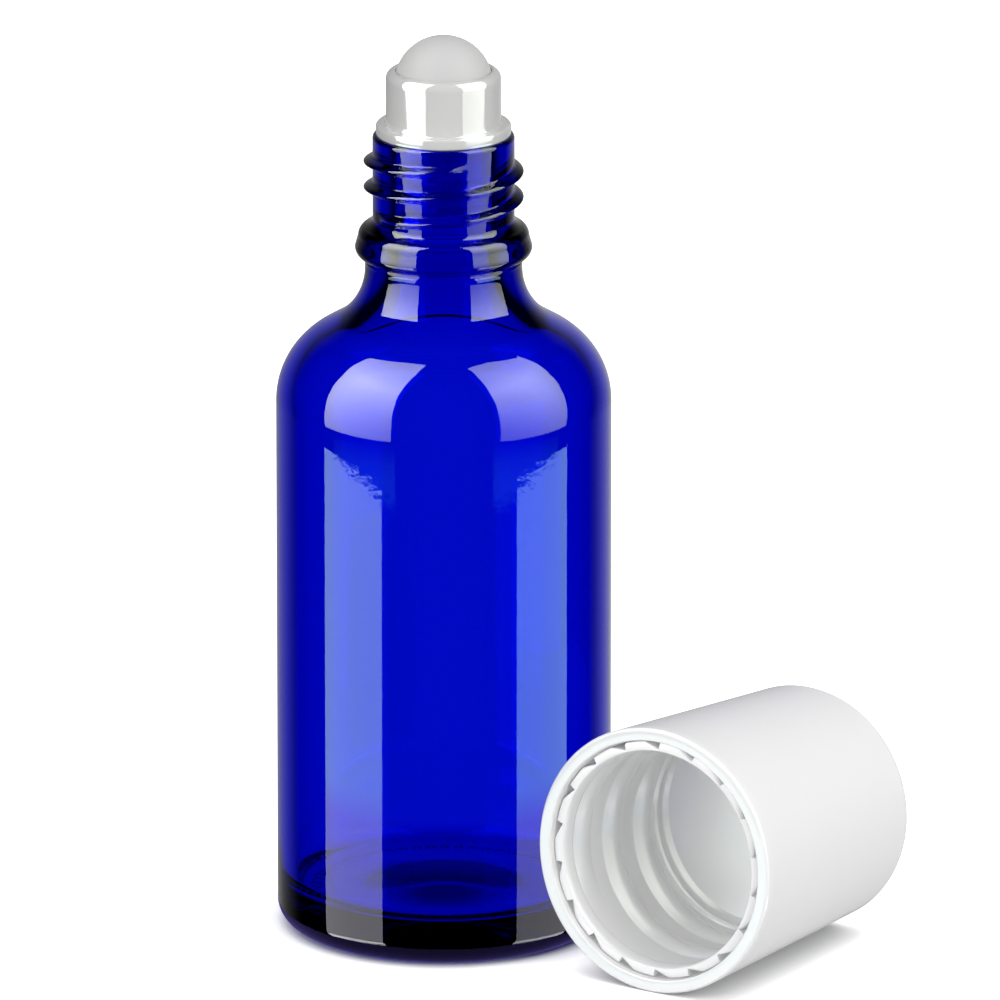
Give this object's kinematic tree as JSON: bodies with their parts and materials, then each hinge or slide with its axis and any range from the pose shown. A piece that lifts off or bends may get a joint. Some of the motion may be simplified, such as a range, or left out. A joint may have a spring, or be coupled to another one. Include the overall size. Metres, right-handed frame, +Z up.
{
  "type": "roll on bottle",
  "caption": "Glass roll-on bottle with a screw neck, a pressed-in housing that holds a roller ball, and a tapered screw cap lying beside it on its side.",
  "frame": {"origin": "middle of the bottle's standing ring, on the surface that the bottle and the cap stand on", "axes": "+Z up along the bottle's axis, -Y towards the picture's camera, +X to the camera's right, where the cap lies"},
  "size_m": [0.0697, 0.0526, 0.1014],
  "materials": {
    "blue_glass": "clear cobalt blue glass with a bright fire-polished surface",
    "housing_plastic": "glossy white moulded plastic",
    "ball_plastic": "satin off-white plastic ball",
    "cap_plastic": "glossy white moulded plastic",
    "liner_plastic": "white moulded plastic, a little less glossy than the shell"
  },
  "bodies": {
    "bottle": {"glass_bottle": "blue_glass", "roller_housing": "housing_plastic"},
    "ball": {"roller_ball": "ball_plastic"},
    "cap": {"cap_shell": "cap_plastic", "cap_liner": "liner_plastic"}
  },
  "joints": [
    {"name": "ball_roll", "type": "hinge", "parent": "bottle", "child": "ball", "pos_m": [0, 0, 0.096], "axis": [1, 0, 0], "continuous": true},
    {"name": "cap_lift", "type": "slide", "parent": "bottle", "child": "cap", "axis": [0, 0, 1], "range_m": [0, 0.11]}
  ]
}
